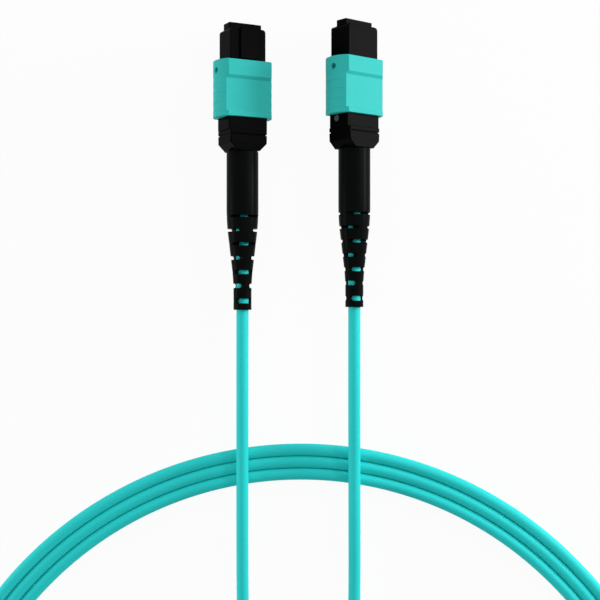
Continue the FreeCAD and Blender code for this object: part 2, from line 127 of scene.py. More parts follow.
class Wire:
    """A value on its way between nodes. Arithmetic on it adds the nodes that work it out."""

    def __init__(self, tree, socket):
        self.tree, self.socket = tree, socket

    def node(self, kind, settings=None, sockets=None, output=0):
        """Adds a node of that type, with its settings and what its sockets are given, and returns one output."""
        made = self.tree.nodes.new(kind)
        for name, value in (settings or {}).items():
            if name == "stops":
                elements = made.color_ramp.elements
                for _ in range(len(value) - len(elements)):
                    elements.new(1.0)
                for element, (position, colour) in zip(elements, value):
                    element.position, element.color = position, (*colour, 1.0)
            elif name == "interpolation":
                made.color_ramp.interpolation = value
            else:
                setattr(made, name, value)
        for name, value in (sockets or {}).items():
            if isinstance(value, Wire):
                self.tree.links.new(made.inputs[name], value.socket)
            else:
                made.inputs[name].default_value = value
        return Wire(self.tree, made.outputs[output]) if output is not None else None

    def maths(self, operation, first, second=0.0):
        return self.node("ShaderNodeMath", {"operation": operation}, {0: first, 1: second})

    def __add__(self, other):
        return self.maths("ADD", self, other)

    def __sub__(self, other):
        return self.maths("SUBTRACT", self, other)

    def __rsub__(self, other):
        return self.maths("SUBTRACT", other, self)

    def __mul__(self, other):
        return self.maths("MULTIPLY", self, other)

    def __truediv__(self, other):
        return self.maths("DIVIDE", self, other)

    __radd__ = __add__
    __rmul__ = __mul__


def blank(name):
    """An empty material, and a wire that carries the piece's own coordinates."""
    material = bpy.data.materials.new(name)
    material.use_nodes = True
    material.node_tree.nodes.clear()
    coordinates = material.node_tree.nodes.new("ShaderNodeTexCoord")
    return material, Wire(material.node_tree, coordinates.outputs["Object"])


def surface(place, sockets):
    """Ends a material with one principled shader."""
    shader = place.node("ShaderNodeBsdfPrincipled", None, sockets)
    place.node("ShaderNodeOutputMaterial", None, {"Surface": shader}, None)


def grain(place, size, detail=2.0):
    """Soft noise from 0 to 1, whose blots are about that many millimetres across."""
    return place.node("ShaderNodeTexNoise", None, {"Vector": place, "Scale": 1 / (size * MM), "Detail": detail})


def between(place, factor, first, second):
    """A colour from first to second as factor goes from 0 to 1."""
    return place.node("ShaderNodeMix", {"data_type": "RGBA"},
                      {0: factor, 6: (*first, 1.0), 7: (*second, 1.0)}, 2)


def relief(place, height, depth):
    """A normal that rises and falls by that many millimetres with height."""
    return place.node("ShaderNodeBump", None, {"Strength": 1.0, "Distance": depth * MM, "Height": height})


jacket, place = blank("extruded_jacket")
clouds, fine = grain(place, 9.0), grain(place, 0.5)
surface(place, {
    "Base Color": between(place, clouds * 0.7 + fine * 0.3, (0.029, 0.75, 0.735), (0.033, 0.79, 0.775)),
    "Roughness": 0.42 + grain(place, 2.5) * 0.08,
    "Specular IOR Level": 0.07,
    "Normal": relief(place, grain(place, 0.3), 0.003),
})

line = bpy.data.curves.new("cable", "CURVE")
line.dimensions = "3D"
spline = line.splines.new("NURBS")
spline.points.add(len(route) - 1)
for point, spot in zip(spline.points, route):
    point.co = (*(c * MM for c in spot), 1.0)
spline.order_u = 3
spline.use_endpoint_u = True
spline.resolution_u = 8
line.bevel_depth = crown * MM
line.use_fill_caps = True
line.bevel_resolution = 10
line.materials.append(jacket)
cable = bpy.data.objects.new("cable", line)
scene.collection.objects.link(cable)
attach(cable, "patch_cord")
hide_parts("lead_a", "lead_b", "cable_coil")


# ---- The twelve fibres ----
# Inside the jacket the fibres lie in one flat row, each coated in its own colour of the usual order.
# They are threaded through both housings and glued into the ferrule, so they go with it when it is pushed back.

# How each plug lies: its axis on the floor plan and above the floor, and its roll about that axis.
# A plug is drawn in millimetres: X across, Y from the boot's rear end to the ferrule's face, Z up through its key.
plug_places = {
    letter: Matrix.Translation(corner) @ Matrix.Rotation(math.radians(roll), 4, "Y") @ Matrix.Scale(MM, 4)
    for letter, corner, roll in (("a", (-0.01512, -0.03888, 0.006944), 27.7),
                                 ("b", (0.01503, -0.03812, 0.007462), 219.6))
}
fibre_count, fibre_pitch, fibre_coating = 12, 0.25, 0.245
ribbon_rear, ribbon_front = 30.45, 74.35


def geometry_tree(name, sizes):
    """A node tree with those named number inputs, and a wire from each of its inputs by name."""
    tree = bpy.data.node_groups.new(name, "GeometryNodeTree")
    tree.interface.new_socket("Geometry", in_out="INPUT", socket_type="NodeSocketGeometry")
    for label in sizes:
        tree.interface.new_socket(label, in_out="INPUT", socket_type="NodeSocketFloat")
    tree.interface.new_socket("Material", in_out="INPUT", socket_type="NodeSocketMaterial")
    tree.interface.new_socket("Geometry", in_out="OUTPUT", socket_type="NodeSocketGeometry")
    start = tree.nodes.new("NodeGroupInput")
    return tree, {socket.name: Wire(tree, socket) for socket in start.outputs if socket.name}


def close_tree(shape, wires):
    """Ends a tree: its instances become real and take their material."""
    real = shape.node("GeometryNodeRealizeInstances", None, {"Geometry": shape})
    painted = real.node("GeometryNodeSetMaterial", None, {"Geometry": real, "Material": wires["Material"]})
    painted.node("NodeGroupOutput", None, {0: painted}, None)


def grown(tree, values, base=None):
    """The plain mesh that a tree makes of those input values, in a plug's own millimetres."""
    seed = bpy.data.objects.new("seed", base or bpy.data.meshes.new("seed"))
    scene.collection.objects.link(seed)
    modifier = seed.modifiers.new("tree", "NODES")
    modifier.node_group = tree
    for item in tree.interface.items_tree:
        if item.in_out == "INPUT" and item.name in values:
            modifier[item.identifier] = values[item.name]
    mesh = bpy.data.meshes.new_from_object(seed.evaluated_get(bpy.context.evaluated_depsgraph_get()))
    bpy.data.objects.remove(seed)
    return mesh


def fit(name, mesh, letter, body, material=None, stands_for=(), sharp=35, even=False):
    """Puts a finished mesh into its plug, shades it, and says what it rides on and stands for.

    Edges over the sharp angle stay crisp. even keeps the light level on flats that end in rounded edges."""
    mesh.transform(plug_places[letter])
    mesh.shade_smooth()
    mesh.set_sharp_from_angle(angle=math.radians(sharp))
    mesh.name = f"plug_{letter}_{name}"
    if material:
        mesh.materials.clear()
        mesh.materials.append(material)
    piece = bpy.data.objects.new(mesh.name + "_shown", mesh)
    scene.collection.objects.link(piece)
    if even:
        piece.modifiers.new("even_flats", "WEIGHTED_NORMAL").keep_sharp = True
    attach(piece, body)
    if stands_for:
        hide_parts(*(f"plug_{letter}_{node}" for node in stands_for))
    return piece


# A row of round rods along Y, side by side across X, about the middle of the plug.
rods, size = geometry_tree("row_of_rods", ["Count", "Pitch", "Diameter", "Rear", "Front"])
spread = (size["Count"] - 1) * size["Pitch"]
first = spread.node("ShaderNodeCombineXYZ", None, {0: spread * -0.5, 1: (size["Rear"] + size["Front"]) * 0.5})
step = spread.node("ShaderNodeCombineXYZ", None, {0: size["Pitch"]})
row = spread.node("GeometryNodeMeshLine", None, {"Count": size["Count"], "Start Location": first, "Offset": step})
rod = spread.node("GeometryNodeMeshCylinder", None, {
    "Vertices": 16, "Radius": size["Diameter"] * 0.5, "Depth": size["Front"] - size["Rear"]})
close_tree(spread.node("GeometryNodeInstanceOnPoints", None, {
    "Points": row, "Instance": rod, "Rotation": (math.pi / 2, 0.0, 0.0)}), size)

coating_colours = [(0.02, 0.13, 0.55), (0.75, 0.22, 0.02), (0.03, 0.32, 0.07), (0.16, 0.07, 0.03),
                   (0.28, 0.3, 0.32), (0.8, 0.8, 0.78), (0.55, 0.02, 0.02), (0.02, 0.02, 0.02),
                   (0.8, 0.62, 0.03), (0.2, 0.05, 0.42), (0.8, 0.32, 0.38), (0.06, 0.55, 0.55)]
for letter, lies in plug_places.items():
    coating, place = blank(f"fibre_coating_{letter}")
    turned = place.node("ShaderNodeMapping", {"vector_type": "TEXTURE"}, {
        "Vector": place, "Location": lies.to_translation(), "Rotation": lies.to_euler()})
    across = place.node("ShaderNodeSeparateXYZ", None, {0: turned}) / (fibre_count * fibre_pitch * MM) + 0.5
    bands = place.node("ShaderNodeValToRGB", {
        "stops": [(n / fibre_count, colour) for n, colour in enumerate(coating_colours)],
        "interpolation": "CONSTANT"}, {0: across})
    surface(place, {"Base Color": bands, "Roughness": 0.25 + grain(place, 0.6) * 0.15,
                    "Normal": relief(place, grain(place, 0.08), 0.002)})
    fibres = grown(rods, {"Count": float(fibre_count), "Pitch": fibre_pitch, "Diameter": fibre_coating,
                          "Rear": ribbon_rear, "Front": ribbon_front, "Material": coating})
    fit("fibre_row", fibres, letter, f"ferrule_{letter}", None, ["fibre_ribbon"])


# ---- Crimp ring ----
# Thin brass ring in two widths that is squeezed over the barrel and over the end of the jacket.
# It grips the yarn and carries the pull on the cable, and the boot hides it.

crimped, place = blank("crimped_brass")
turning = place.node("ShaderNodeTexWave", {"wave_type": "BANDS", "bands_direction": "Y"},
                     {"Vector": place, "Scale": 1200.0, "Distortion": 0.6})
surface(place, {
    "Base Color": between(place, grain(place, 1.6), (0.62, 0.47, 0.2), (0.78, 0.64, 0.34)),
    "Metallic": 1.0, "Roughness": 0.28 + grain(place, 0.7) * 0.2, "Normal": relief(place, turning, 0.01),
})


def dress(node, material):
    """Gives a piece that comes from the CAD model its own finish."""
    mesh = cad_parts[node].data
    mesh.materials.clear()
    mesh.materials.append(material)


for letter in plug_places:
    dress(f"plug_{letter}_crimp_ring", crimped)


# ---- Strain boot ----
# Soft black rubber moulded in one piece: a round body, a long flare and a short tail.
# Rows of slots, cut from two sides in turn, let the flare bend evenly. It is pushed on over the crimp ring.

boot_length, boot_body, boot_tail = 42.5, 8.6, 4.85
tail_length, flare_length, flare_radius = 4.2, 23.1, 61.0
jacket_bore, crimp_bore, step_bore = 3.54, 4.34, 5.94
crimp_station, step_station = 26.18, 32.2
tail_round, mouth_round = 0.12, 0.08
slot_rows = (17.4, 21.1, 24.8, 28.55, 32.35, 36.05, 40.1)
slot_webs = (1.2, 1.4, 0.95, 1.3, 0.7, 1.0, 0.7)
slot_width, slot_growth, slot_reach = 0.7, 0.1, 8.0

rubber, place = blank("boot_rubber")
bloom = grain(place, 5.0)
surface(place, {
    "Base Color": between(place, bloom, (0.0024, 0.0034, 0.0028), (0.0034, 0.0046, 0.0038)),
    "Roughness": 0.3 + grain(place, 1.2) * 0.06,
    "Specular IOR Level": 0.016,
    "Normal": relief(place, grain(place, 0.16, 4.0), 0.012),
})


def flare_line(stations):
    """The flare's outer half: (radius, station) points on two tangent arcs and the straight run between them."""
    tail, body = boot_tail / 2, boot_body / 2
    slope = math.atan2(flare_length, 2 * flare_radius - (body - tail)) - math.acos(
        2 * flare_radius / math.hypot(flare_length, 2 * flare_radius - (body - tail)))
    points = []
    for number in range(stations + 1):
        angle = slope * number / stations
        points.append((tail + flare_radius * (1 - math.cos(angle)), tail_length + flare_radius * math.sin(angle)))
    for number in range(stations, -1, -1):
        angle = slope * number / stations
        points.append((body - flare_radius * (1 - math.cos(angle)),
                       tail_length + flare_length - flare_radius * math.sin(angle)))
    return points


def quarter(end, way, radius, steps=4):
    """A rounded edge at the end of a run: stations towards the end, with how far the outline has drawn in."""
    return [(end - way * radius * (1 - math.sin(angle)), radius * (1 - math.cos(angle)))
            for angle in (step * math.pi / 2 / steps for step in range(steps + 1))]


def lathe(profile, segments=96):
    """A closed solid of revolution about the plug's axis from (radius, station) points."""
    bm = bmesh.new()
    rings = [[bm.verts.new((radius * math.cos(a), station, radius * math.sin(a)))
              for a in (2 * math.pi * n / segments for n in range(segments))] for radius, station in profile]
    for near, far in zip(rings, rings[1:] + rings[:1]):
        for n in range(segments):
            bm.faces.new((near[n], near[(n + 1) % segments], far[(n + 1) % segments], far[n]))
    bmesh.ops.remove_doubles(bm, verts=bm.verts, dist=1e-5)
    bmesh.ops.recalc_face_normals(bm, faces=bm.faces)
    mesh = bpy.data.meshes.new("lathe")
    bm.to_mesh(mesh)
    bm.free()
    return mesh


boot_profile = [(jacket_bore / 2, 0.0)]
boot_profile += [(boot_tail / 2 - inset, station) for station, inset in reversed(quarter(0.0, -1, tail_round))]
boot_profile += flare_line(10)
boot_profile += [(boot_body / 2 - inset, station) for station, inset in quarter(boot_length, 1, mouth_round)]
boot_profile += [(step_bore / 2, boot_length), (step_bore / 2, step_station), (crimp_bore / 2, step_station),
                 (crimp_bore / 2, crimp_station), (jacket_bore / 2, crimp_station)]

# Cutters for the slots: a long tongue with a round nose stands on each point of the base mesh, which is one slot.
slots, size = geometry_tree("boot_slots", ["Length"])
nose = size["Length"].node("GeometryNodeMeshCylinder", None, {"Vertices": 32, "Radius": 0.5, "Depth": 1.0})
nose = nose.node("GeometryNodeTransform", None, {"Geometry": nose, "Rotation": (0.0, math.pi / 2, 0.0)})
height = nose.node("ShaderNodeSeparateXYZ", None, {0: nose.node("GeometryNodeInputPosition")}, 2)
upper = nose.node("FunctionNodeCompare", {"operation": "GREATER_THAN"}, {0: height, 1: 0.01})
reach = nose.node("ShaderNodeCombineXYZ", None, {2: size["Length"]})
tongue = nose.node("GeometryNodeSetPosition", None, {"Geometry": nose, "Selection": upper, "Offset": reach})
slot_size = nose.node("GeometryNodeInputNamedAttribute", {"data_type": "FLOAT_VECTOR"}, {"Name": "slot_size"})
slot_turn = nose.node("GeometryNodeInputNamedAttribute", {"data_type": "FLOAT_VECTOR"}, {"Name": "slot_turn"})
close_tree(nose.node("GeometryNodeInstanceOnPoints", None, {
    "Points": size["Geometry"], "Instance": tongue, "Rotation": slot_turn, "Scale": slot_size}), size)


def slot_points():
    """One point a slot, in pairs from both sides of the boot, every other row turned by a quarter."""
    spots, sizes, turns = [], [], []
    for number, (setback, web) in enumerate(zip(slot_rows, slot_webs)):
        width = slot_width + slot_growth * number
        for turn in (0.0, math.pi):
            turn += number % 2 * math.pi / 2
            bottom = web + width / 2
            spots.append((bottom * math.sin(turn), boot_length - setback, bottom * math.cos(turn)))
            sizes.append((boot_body + 2, width, width))
            turns.append((0.0, turn, 0.0))
    points = bpy.data.meshes.new("slot_points")
    points.from_pydata(spots, [], [])
    for label, values in (("slot_size", sizes), ("slot_turn", turns)):
        attribute = points.attributes.new(label, "FLOAT_VECTOR", "POINT")
        for item, value in zip(attribute.data, values):
            item.vector = value
    return points


def less(mesh, *tools):
    """The mesh with the tools cut out of it."""
    stock = bpy.data.objects.new("stock", mesh)
    scene.collection.objects.link(stock)
    helpers = []
    for tool in tools:
        helper = bpy.data.objects.new("tool", tool)
        scene.collection.objects.link(helper)
        modifier = stock.modifiers.new("cut", "BOOLEAN")
        modifier.object, modifier.solver = helper, "EXACT"
        helpers.append(helper)
    result = bpy.data.meshes.new_from_object(stock.evaluated_get(bpy.context.evaluated_depsgraph_get()))
    for item in [stock] + helpers:
        bpy.data.objects.remove(item)
    return result


for letter in plug_places:
    cuts = grown(slots, {"Length": slot_reach, "Material": rubber}, slot_points())
    fit("strain_boot", less(lathe(boot_profile), cuts), letter, "patch_cord", rubber, ["strain_boot"])


# ---- Rear housing ----
# Black moulded spring push: a tapered shell, a hollow tongue that the ferrule spring stands on,
# and a grooved barrel for the crimp ring. Its tongue snaps into the inner housing from behind.

black, place = blank("moulded_black")
surface(place, {
    "Base Color": between(place, grain(place, 4.0), (0.0013, 0.0013, 0.0014), (0.002, 0.002, 0.0021)),
    "Roughness": 0.22 + grain(place, 0.9) * 0.05,
    "Specular IOR Level": 0.007,
    "Normal": relief(place, grain(place, 0.2, 4.0), 0.012),
})

corner_steps, side_steps = 5, 20


def outline(half_width, half_thickness, corner):
    """A rounded rectangle across the plug, as (x, z) points."""
    flat, points = half_thickness - corner, []
    for number, (x_way, z_way) in enumerate(((1, 1), (-1, 1), (-1, -1), (1, -1))):
        for step in range(corner_steps + 1):
            angle = (number + step / corner_steps) * math.pi / 2
            points.append((x_way * (half_width - corner) + corner * math.cos(angle),
                           z_way * flat + corner * math.sin(angle)))
        if number % 2:
            points += [(x_way * half_width, z_way * flat * (1 - 2 * step / side_steps))
                       for step in range(1, side_steps)]
    return points


def walls(bm, layers):
    """The faces from each layer of points to the next one."""
    for near, far in zip(layers, layers[1:]):
        for n in range(len(near)):
            bm.faces.new((near[n - 1], near[n], far[n], far[n - 1]))


def skin(bm, rings):
    """Adds a closed skin over (station, outline) rings that go out along a piece and come back through its bore."""
    layers = [[bm.verts.new((x, station, z)) for x, z in points] for station, points in rings]
    walls(bm, layers + layers[:1])
    return bm


def bar(bm, start, end, half_width, half_thickness, corner, x=0.0, z=0.0, edge=0.1):
    """Adds a solid bar with all its edges rounded."""
    stations = list(reversed(quarter(start, -1, edge, 2))) + quarter(end, 1, edge, 2)
    layers = [[bm.verts.new((x + u, station, z + v))
               for u, v in outline(half_width - inset, half_thickness - inset, max(corner - inset, 0.02))]
              for station, inset in stations]
    walls(bm, layers)
    bm.faces.new(layers[0])
    bm.faces.new(layers[-1])


def closed(bm):
    """A mesh of what was built, with doubles merged and faces turned outwards."""
    bmesh.ops.remove_doubles(bm, verts=bm.verts, dist=1e-5)
    bmesh.ops.recalc_face_normals(bm, faces=bm.faces)
    mesh = bpy.data.meshes.new("closed")
    bm.to_mesh(mesh)
    bm.free()
    return mesh


rear_start, rear_end, shoulder = 42.6, 46.85, 44.6
rear_half_width, neck_half_width, rear_half_thickness = 5.33, 3.4, 4.25
seam_half, seam_depth, wide_seam_depth = 0.15, 0.16, 0.4
hollow_half, hollow_corner = (3.15, 1.3), 0.1
tongue_half, tongue_corner, tongue_rear, tongue_front = (3.7, 1.85), 0.4, 46.0, 58.85
barrel_rear, barrel_front, barrel_radius, barrel_bore = 33.4, 42.7, 2.45, 1.75
grip_grooves, grip_radius, grip_width, grip_slope = (35.125, 37.425, 39.725), 2.3, 1.15, 0.1


def rear_shell():
    """The tapered shell, with its hollow tongue."""
    rings = [(rear_start, outline(*hollow_half, hollow_corner))]
    for station, inset in reversed(quarter(rear_start, -1, 0.15)):
        rings.append((station, outline(neck_half_width - inset, rear_half_thickness - inset, 0.2 - inset)))
    rings.append((shoulder - 0.12, outline(rear_half_width - 0.1, rear_half_thickness, 0.3)))
    rings.append((shoulder + 0.05, outline(rear_half_width - 0.01, rear_half_thickness, 0.3)))
    rings.append((shoulder + 0.2, outline(rear_half_width, rear_half_thickness, 0.3)))
    for station, inset in quarter(rear_end - seam_half, 1, 0.12):
        rings.append((station, outline(rear_half_width - inset, rear_half_thickness - inset, 0.2 - inset)))
    core = outline(rear_half_width - seam_depth, rear_half_thickness - wide_seam_depth, 0.1)
    rings += [(rear_end - seam_half, core), (rear_end, core), (rear_end, outline(*hollow_half, hollow_corner))]
    tongue = [(tongue_rear, outline(*hollow_half, hollow_corner)),
              (tongue_rear, outline(*tongue_half, tongue_corner)),
              (tongue_front - 0.1, outline(*tongue_half, tongue_corner)),
              (tongue_front, outline(*(half - 0.1 for half in tongue_half), tongue_corner - 0.05)),
              (tongue_front, outline(*hollow_half, hollow_corner))]
    return closed(skin(skin(bmesh.new(), rings), tongue))


barrel_profile = [(barrel_bore, barrel_rear), (barrel_radius - 0.1, barrel_rear), (barrel_radius, barrel_rear + 0.1)]
for station in grip_grooves:
    barrel_profile += [(barrel_radius, station), (grip_radius, station + grip_slope),
                       (grip_radius, station + grip_width - grip_slope), (barrel_radius, station + grip_width)]
barrel_profile += [(barrel_radius, barrel_front), (barrel_bore, barrel_front)]

for letter in plug_places:
    shell = bmesh.new()
    shell.from_mesh(rear_shell())
    shell.from_mesh(lathe(barrel_profile, 48))
    mesh = bpy.data.meshes.new("rear_housing")
    shell.to_mesh(mesh)
    shell.free()
    fit("rear_housing", mesh, letter, "patch_cord", black, ["rear_housing"], even=True)


# ---- Inner housing ----
# Black moulded plug body that goes into the adapter: a rear flange, a body that the coupling slides on,
# a nose with its key and latch grooves, and a collar around the ferrule. Side channels hold the coupling springs.

inner_start, flange_end, nose_start, nose_front, collar_front = 46.85, 48.1, 62.3, 75.25, 76.85
body_half, nose_half, collar_half = (5.65, 3.6), (5.2, 3.6), (4.725, 1.875)
nose_corner, body_corner, shoulder_round = 0.15, 0.15, 0.9
groove_start, groove_end, groove_depth = 64.15, 66.55, 0.45
step_run = 0.02
cavity_half, mouth_half, cavity_front = (3.8, 1.95), (3.26, 1.31), 71.45
channel_start, channel_end, channel_depth, channel_half = 52.2, 61.45, 1.3, 0.75
key_start, key_end, key_half, key_edge = 66.9, 75.1, (2.45, 0.75), 0.12


def inner_body():
    """The moulded body without its key, over its cavity."""
    core = outline(rear_half_width - seam_depth, rear_half_thickness - wide_seam_depth, 0.1)
    rings = [(inner_start, outline(*cavity_half, 0.4)), (inner_start, core), (inner_start + seam_half, core)]
    for station, inset in reversed(quarter(inner_start + seam_half, -1, 0.1)):
        rings.append((station, outline(rear_half_width - inset, rear_half_thickness - inset, 0.2 - inset)))
    for station, inset in quarter(flange_end, 1, 0.12):
        rings.append((station, outline(rear_half_width, rear_half_thickness - inset, 0.2 - inset / 2)))
    groove_half = (nose_half[0] - groove_depth, nose_half[1])
    rings += [(flange_end + step_run, outline(rear_half_width, body_half[1], body_corner)),
              (flange_end + 2 * step_run, outline(*body_half, body_corner)),
              (nose_start, outline(*body_half, body_corner)),
              (nose_start + step_run, outline(*nose_half, nose_corner)),
              (groove_start - step_run, outline(*nose_half, nose_corner)),
              (groove_start, outline(*groove_half, nose_corner)),
              (groove_end, outline(*groove_half, nose_corner)),
              (groove_end + step_run, outline(*nose_half, nose_corner))]
    for station, inset in quarter(nose_front, 1, shoulder_round, 7):
        drop = max(station - nose_front + 0.1, 0.0)
        rings.append((station, outline(nose_half[0] - inset, nose_half[1] - drop, nose_corner)))
    rings.append((nose_front, outline(*collar_half, body_corner)))
    for station, inset in quarter(collar_front, 1, 0.12):
        rings.append((station, outline(collar_half[0] - inset, collar_half[1] - inset, body_corner)))
    rings += [(collar_front, outline(mouth_half[0] + 0.1, mouth_half[1] + 0.1, 0.1)),
              (collar_front - 0.1, outline(*mouth_half, 0.08)), (cavity_front, outline(*mouth_half, 0.08)),
              (cavity_front, outline(*cavity_half, 0.4))]
    return closed(skin(bmesh.new(), rings))


def channel_cutter():
    """Two bars that cut the coupling springs' channels out of the narrow sides."""
    bm, half = bmesh.new(), 1.15
    for side in (-1, 1):
        bar(bm, channel_start, channel_end, half, channel_half, 0.05, side * (body_half[0] - channel_depth + half),
            edge=0.03)
    return closed(bm)


for letter in plug_places:
    shell = bmesh.new()
    shell.from_mesh(less(inner_body(), channel_cutter()))
    bar(shell, key_start, key_end, *key_half, key_edge, z=nose_half[1], edge=key_edge)
    bmesh.ops.recalc_face_normals(shell, faces=shell.faces)
    mesh = bpy.data.meshes.new("inner_housing")
    shell.to_mesh(mesh)
    shell.free()
    fit("inner_housing", mesh, letter, "patch_cord", black, ["inner_housing"], even=True)


# ---- Marker dot ----
# A pale painted disc on one narrow side of the inner housing. It tells which end of the fibre row is number one. Its
# colour is dark grey instead: painted shade, as the dot lies in the shade of the narrow side.

# Dark grey colour: painted shade laid over the pale dot.
dot_paint, place = blank("dot_paint")
surface(place, {
    "Base Color": between(place, grain(place, 0.4), (0.026, 0.026, 0.027), (0.036, 0.036, 0.037)),
    "Roughness": 0.5 + grain(place, 0.2) * 0.2, "Specular IOR Level": 0.5,
    "Normal": relief(place, grain(place, 0.15), 0.01),
})
dot_station, dot_height, dot_points = 50.5, 0.8, 40
dot_profile = [(0.0, -0.3), (0.9, -0.3), (0.9, 0.0), (0.86, 0.02), (0.75, 0.03), (0.0, 0.035)]   # radius and rise
for letter in plug_places:
    bm = bmesh.new()
    walls(bm, [[bm.verts.new((body_half[0] + rise, dot_station + radius * math.sin(a),
                              dot_height + radius * math.cos(a)))
                for a in (2 * math.pi * n / dot_points for n in range(dot_points))] for radius, rise in dot_profile])
    fit("marker_dot", closed(bm), letter, "patch_cord", dot_paint, ["marker_dot"])


# ---- Ferrule, its boot, keeper and spring ----
# The ferrule is a block of glass-filled resin with two guide holes, and twelve glass fibres polished off at its face.
# A rubber boot guides the fibres in from behind. A steel keeper and a flat-wound spring press the ferrule forwards.

resin, place = blank("ferrule_resin")
speckle = grain(place, 0.06, 4.0)
surface(place, {
    "Base Color": between(place, speckle, (0.014, 0.015, 0.017), (0.06, 0.062, 0.066)),
    "Roughness": 0.32 + speckle * 0.2, "Normal": relief(place, grain(place, 0.1), 0.003),
})
steel, place = blank("stamped_steel")
brushed = grain(place.node("ShaderNodeMapping", None, {"Vector": place, "Scale": (1.0, 0.06, 1.0)}), 0.06)
surface(place, {
    "Base Color": between(place, brushed, (0.48, 0.49, 0.5), (0.66, 0.66, 0.66)),
    "Metallic": 1.0, "Roughness": 0.24 + brushed * 0.2, "Normal": relief(place, brushed, 0.004),
})
wire_steel, place = blank("spring_wire")
surface(place, {
    "Base Color": between(place, grain(place, 0.5), (0.5, 0.51, 0.53), (0.7, 0.7, 0.71)),
    "Metallic": 1.0, "Roughness": 0.2 + grain(place, 0.3) * 0.15, "Normal": relief(place, grain(place, 0.08), 0.004),
})
glass, place = blank("polished_fibre")
surface(place, {
    "Base Color": between(place, grain(place, 0.05), (0.55, 0.6, 0.62), (0.75, 0.8, 0.82)),
    "Roughness": 0.06 + grain(place, 0.05) * 0.06, "Coat Weight": 0.5,
})

# A spring of round wire along Y, wound on a rounded rectangle if its two widths differ.
springs, size = geometry_tree("coil_spring", ["Turns", "Width", "Thickness", "Wire", "Rear", "Front", "Steps"])
index = size["Turns"].node("GeometryNodeInputIndex")
angle = index / size["Steps"] * (2 * math.pi)
run = (size["Front"] - size["Rear"] - size["Wire"]) / (size["Turns"] * size["Steps"])
cosine, sine = index.maths("COSINE", angle), index.maths("SINE", angle)
spot = index.node("ShaderNodeCombineXYZ", None, {
    0: cosine * (size["Width"] - size["Wire"]) * 0.5,
    1: index * run + size["Rear"] + size["Wire"] * 0.5,
    2: sine * (size["Thickness"] - size["Wire"]) * 0.5})
thread = index.node("GeometryNodeMeshLine", None, {"Count": size["Turns"] * size["Steps"] + 1})
helix = index.node("GeometryNodeMeshToCurve", None, {"Mesh": thread})
helix = index.node("GeometryNodeSetPosition", None, {"Geometry": helix, "Position": spot})
section = index.node("GeometryNodeCurvePrimitiveCircle", None, {"Resolution": 12, "Radius": size["Wire"] * 0.5})
close_tree(index.node("GeometryNodeCurveToMesh", None, {
    "Curve": helix, "Profile Curve": section, "Fill Caps": True}), size)


def spring(name, letter, sizes, x=0.0):
    """A steel spring, put into its plug with a mesh of its own."""
    mesh = grown(springs, {**sizes, "Steps": 28.0, "Material": wire_steel})
    mesh.transform(Matrix.Translation((x, 0, 0)))
    piece = fit(name, mesh, letter, "patch_cord", None, [name])
    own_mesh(piece)


for letter in plug_places:
    ferrule_body = f"ferrule_{letter}"
    dress(f"plug_{letter}_ferrule", resin)
    dress(f"plug_{letter}_pin_keeper", steel)
    dress(f"plug_{letter}_ferrule_boot", rubber)
    ends = grown(rods, {"Count": float(fibre_count), "Pitch": fibre_pitch, "Diameter": 0.125,
                        "Rear": 76.85, "Front": 77.006, "Material": glass})
    fit("fibre_ends", ends, letter, ferrule_body)
    spring("ferrule_spring", letter,
           {"Turns": 5.0, "Width": 6.9, "Thickness": 3.2, "Wire": 0.45, "Rear": 58.9, "Front": 67.0})
    for side, x in (("left", -5.02), ("right", 5.02)):
        spring(f"coupling_spring_{side}", letter,
               {"Turns": 6.0, "Width": 1.1, "Thickness": 1.1, "Wire": 0.2, "Rear": 52.25, "Front": 59.75}, x)


# ---- Coupling ----
# Aqua moulded sleeve that is pulled back to free the plug from its adapter. It has a thick ring at the front,
# a waist on its wide faces, finger grooves on its bowed narrow sides, and two lugs that press on the springs.

sleeve_start, sleeve_end = 51.5, 66.6
bow_radius, bow_centre = 6.763, 1.26
sleeve_corner, waist_corner, waist_limit = 0.3, 0.15, 4.2
bore_half, end_round = (5.77, 3.72), 0.1
scallop_start, scallop_pitch, scallop_ridge, scallop_depth, scallops = 52.85, 2.5, 0.2, 0.07, 4
scallop_steps, edge_share = 12, 0.4
line_half, line_depth = 0.16, 0.1
hole_station, hole_offset, hole_radius = 63.85, 0.58, 0.8
lug_start, lug_end, lug_half, lug_middle = 59.8, 61.4, (0.7, 0.63), 5.17
# Half the thickness along the sleeve: rear rim, waist, sloped ledge, front ring and its lead-in.
thickness_line = [
    (51.5, 4.6), (51.51, 4.65), (51.54, 4.685), (51.6, 4.7), (52.73, 4.7), (52.81, 4.67), (52.85, 4.58),
    (52.86, 4.15), (52.88, 4.11), (52.94, 4.1), (61.5, 4.1), (61.56, 4.12), (62.24, 4.65), (62.29, 4.69),
    (62.36, 4.7), (65.08, 4.7), (65.12, 4.665), (66.4, 4.63), (66.52, 4.6), (66.58, 4.53), (66.6, 4.43),
]

aqua, place = blank("moulded_aqua")
clouds = grain(place, 6.0)
surface(place, {
    "Base Color": between(place, clouds, (0.038, 0.545, 0.508), (0.043, 0.575, 0.537)),
    "Roughness": 0.44 + grain(place, 0.8) * 0.08,
    "Specular IOR Level": 0.06,
    "Normal": relief(place, grain(place, 0.22, 4.0), 0.012),
})


